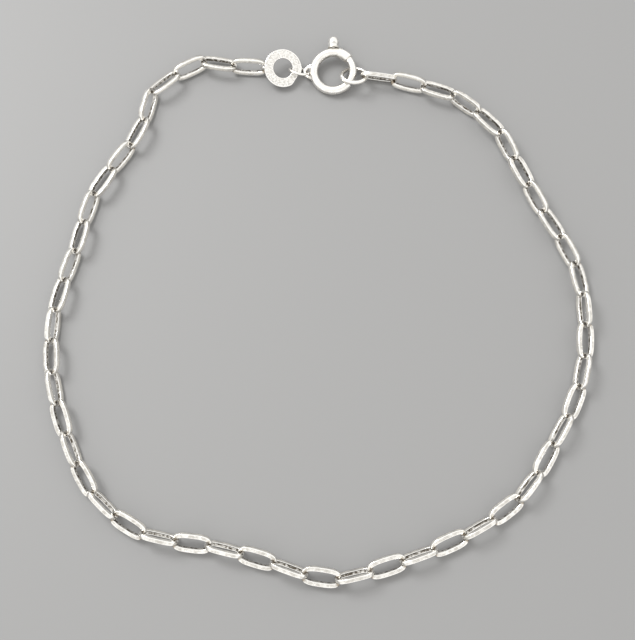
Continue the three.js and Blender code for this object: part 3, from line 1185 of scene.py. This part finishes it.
@dataclass
class ClaspRing(Part):
    """The bolt ring's bent tube with its mouth, slot, collar, blunt end and eye.

    Its frame is the clasp's own: the tube lies in the frame's XY plane.
    """

    frame: Matrix
    tube: float = 1.0
    bore: float = 0.9
    mouth: float = math.radians(39)
    mouth_rounding: float = 0.03
    bore_lead: float = 0.1
    bore_end: float = math.radians(154)
    blunt_end: float = math.radians(317.5)
    end_rounding: float = 0.05
    collar: float = 1.2
    collar_to: float = math.radians(74)
    collar_lead: float = 0.006
    slot_from: float = math.radians(83)
    slot_to: float = math.radians(145)
    slot_width: float = 0.5
    slot_corner: float = 0.01
    slot_steps: int = 24
    drill_from: float = 0.02
    eye_out: float = 2.75
    eye_radius: float = 0.58
    eye_wire: float = 0.34
    eye_stations: int = 44
    lug: Sequence[Pair] = ((2.45, 0.95), (3.05, 0.65))
    lug_overlap: float = 0.06
    nodes = ("clasp_ring",)

    def build(self) -> Object:
        """Makes the tube, its collar and its eye as one solid, in its packed place."""
        tube = BentRod("bolt_ring_tube", self.tube, self.mouth, self.blunt_end, stations=110,
                       rounding=(self.mouth_rounding, self.end_rounding)).build()
        collar = BentRod("collar", self.collar, self.mouth - self.collar_lead, self.collar_to,
                         stations=24, rounding=(self.end_rounding, self.end_rounding)).build()
        eye = WireRing("eye", self.eye_radius, self.eye_wire,
                       Matrix.Translation((-self.eye_out, 0, 0)), stations=self.eye_stations,
                       sides=16).build()
        joined(tube, Joining.FUSE, collar, self._lug(), eye)
        bore = BentRod("bore", self.bore, self.mouth - self.bore_lead, self.bore_end,
                       stations=60).build()
        joined(tube, Joining.CUT, bore, *self._slot_cutters())
        return placed(softened(tube, edge=0.025, sharp_degrees=38), self.frame)

    def _lug(self) -> Object:
        """Makes the flat plate that fills the corners between the tube and the eye."""
        half = self.eye_wire / 2
        outline = [SectionPoint(-out, side * width) for side in (1, -1)
                   for out, width in self.lug[::side]]
        bore = round_section(self.eye_radius - half + self.lug_overlap, self.eye_stations)
        circle = [SectionPoint(point.x - self.eye_out, point.y) for point in bore]
        return joined(plate("lug", outline, half), Joining.CUT,
                      plate("lug_bore", circle, 2 * half))

    def _slot_cutters(self) -> list[Object]:
        """Makes the solids that cut the thumb slot, which has round ends."""
        half = self.slot_width / 2 / (CLASP_RADIUS + self.tube / 2)
        start, end = self.slot_from + half, self.slot_to - half
        bar = [SectionPoint(point.x + self.tube / 2, point.y) for point in
               filed_section(self.tube, self.slot_width, self.slot_corner, arc_points=2)]
        frames = [arc_frame(CLASP_RADIUS, start + (end - start) * step / self.slot_steps)
                  for step in range(self.slot_steps + 1)]
        cutters = [Sweep(frames, [bar] * len(frames)).object("slot")]
        drill = round_section(self.slot_width / 2, self.slot_steps)
        for angle in (start, end):
            pin = [radial_frame(angle, reach) for reach in (self.drill_from, self.tube)]
            cutters.append(Sweep(pin, [drill, drill]).object("slot_end"))
        return cutters


@dataclass
class ClaspBolt(Part):
    """The bolt that slides in the clasp's tube, with its thumb knob, in the clasp's own frame.

    The knob is turned: its outline gives radii, and how far outside the clasp's circle each is.
    """

    frame: Matrix
    rod: float = 0.83
    rounding: Pair = (0.14, 0.05)
    tip: float = math.radians(-38)
    tail: float = math.radians(96)
    knob_angle: float = math.radians(89)
    knob_sides: int = 36
    neck: float = 0.4
    knob: Sequence[Pair] = (
        (0.6, 0.53), (0.645, 0.55), (0.65, 0.59), (0.63, 0.64), (0.585, 0.7), (0.57, 0.76),
        (0.58, 0.86), (0.605, 0.97), (0.62, 1.1), (0.62, 1.22), (0.6, 1.36), (0.56, 1.5),
        (0.5, 1.62), (0.415, 1.73), (0.3, 1.82), (0.18, 1.885), (0.06, 1.92))
    body = Body.BOLT
    nodes = ("clasp_bolt",)

    def build(self) -> Object:
        """Makes the rod and the knob as one solid, at rest: the clasp is shut."""
        rod = BentRod("sliding_bolt", self.rod, self.tip, self.tail, stations=60,
                      rounding=self.rounding, sides=32).build()
        outline = [(self.neck / 2, 0.0), (self.neck / 2, self.knob[0][1]), *self.knob]
        frames = [radial_frame(self.knob_angle, reach) for _, reach in outline]
        sections = [round_section(radius, self.knob_sides) for radius, _ in outline]
        knob = Sweep(frames, sections, inner_side=False).object("knob")
        bolt = joined(rod, Joining.FUSE, knob)
        return placed(softened(bolt, edge=0.015, sharp_degrees=50), self.frame)


# ---- Setting ----


def aimed(data: bpy.types.ID, place: Vector, target: Vector) -> Object:
    """Hangs a lamp or a camera at a place so that it faces a target, both in metres."""
    made = linked(data, data.name)
    made.location = place
    made.rotation_euler = (target - place).to_track_quat("-Z", "Y").to_euler()
    return made


@dataclass(frozen=True)
class Studio:
    """A pale floor under a soft even light, with one square lamp. Sizes are in metres."""

    floor_size: float = 6.0
    floor_colour: Triple = (0.25, 0.25, 0.25)
    floor_roughness: float = 0.5
    sky_tint: Triple = (1.0, 0.99, 0.97)
    sky_bands: Sequence[Pair] = (
        (0.0, 0.2), (0.04, 0.45), (0.12, 1.0), (0.6, 1.0), (0.9, 0.9), (1.0, 0.86))
    sky_strength: float = 1.25
    lamp_place: Triple = (-0.35, 0.3, 0.5)
    lamp_size: float = 0.3
    lamp_watts: float = 3.4

    def build(self) -> None:
        """Makes the floor, the surrounding light and the lamp."""
        self._floor()
        self._surround()
        self._lamp()
        bpy.context.scene.view_settings.view_transform = "Standard"

    def _floor(self) -> None:
        """Makes the floor that the bracelet lies on."""
        half = self.floor_size / 2
        mesh = bpy.data.meshes.new("floor")
        mesh.from_pydata([(-half, -half, 0), (half, -half, 0), (half, half, 0),
                          (-half, half, 0)], [], [(0, 1, 2, 3)])
        material = bpy.data.materials.new("pale_floor")
        material.use_nodes = True
        Graph(material.node_tree).feed(material.node_tree.nodes["Principled BSDF"], {
            "Base Color": self.floor_colour, "Roughness": self.floor_roughness})
        mesh.materials.append(material)
        linked(mesh, "floor")

    def _surround(self) -> None:
        """Makes the soft light that comes from all round."""
        world = bpy.data.worlds.new("soft_surround")
        world.use_nodes = True
        graph = Graph(world.node_tree)
        bands = graph.add("ShaderNodeValToRGB", {
            "Fac": graph.height(graph.surface("Generated"))})
        bands.color_ramp.interpolation = "EASE"
        elements = bands.color_ramp.elements
        given = len(elements)
        for number, (height, level) in enumerate(self.sky_bands):
            element = elements[number] if number < given else elements.new(height)
            element.position = height
            element.color = (*(level * tint for tint in self.sky_tint), 1)
        graph.feed(world.node_tree.nodes["Background"], {
            "Strength": self.sky_strength, "Color": bands.outputs["Color"]})
        bpy.context.scene.world = world

    def _lamp(self) -> None:
        """Hangs the lamp so that it faces the bracelet."""
        light = bpy.data.lights.new("key_light", "AREA")
        light.size = self.lamp_size
        light.energy = self.lamp_watts
        aimed(light, Vector(self.lamp_place), Vector((0, 0, 0)))


@dataclass(frozen=True)
class Viewpoint:
    """The camera, looking down on the bracelet from its front."""

    place: Triple = (-0.15, -38.8, 135.2)
    target: Triple = (-0.15, -2.6, 0.0)
    lens: float = 71.83
    sensor: float = 36.0
    clip_metres: Pair = (0.002, 20)

    def build(self) -> None:
        """Makes the scene's camera."""
        data = bpy.data.cameras.new("viewpoint")
        data.sensor_fit = "HORIZONTAL"
        data.sensor_width = self.sensor
        data.lens = self.lens
        data.clip_start, data.clip_end = self.clip_metres
        place, target = Vector(self.place) * MM, Vector(self.target) * MM
        bpy.context.scene.camera = aimed(data, place, target)


def main() -> None:
    """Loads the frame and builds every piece."""
    logging.basicConfig(level=logging.INFO, format="%(name)s: %(message)s")
    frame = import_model()
    Viewpoint().build()
    Studio().build()
    chain = TraceChain()
    coupling = WireRing(
        "coupling_wire", radius=1.09, wire=0.3, nodes=("coupling_ring",),
        frame=ring_frame("coupling_ring", heading=-16.5, roll=130.5), seam=math.radians(200))
    clasp = clasp_frame(frame["joints"][0])
    jump = WireRing(
        "jump_wire", radius=1.43, wire=0.46, nodes=("jump_ring",),
        frame=ring_frame("jump_ring", heading=0, roll=-31), seam=math.radians(-100))
    for part in (chain, TagRing(chain), coupling, ClaspRing(clasp), ClaspBolt(clasp), jump):
        part.make()


if __name__ == "__main__":
    main()
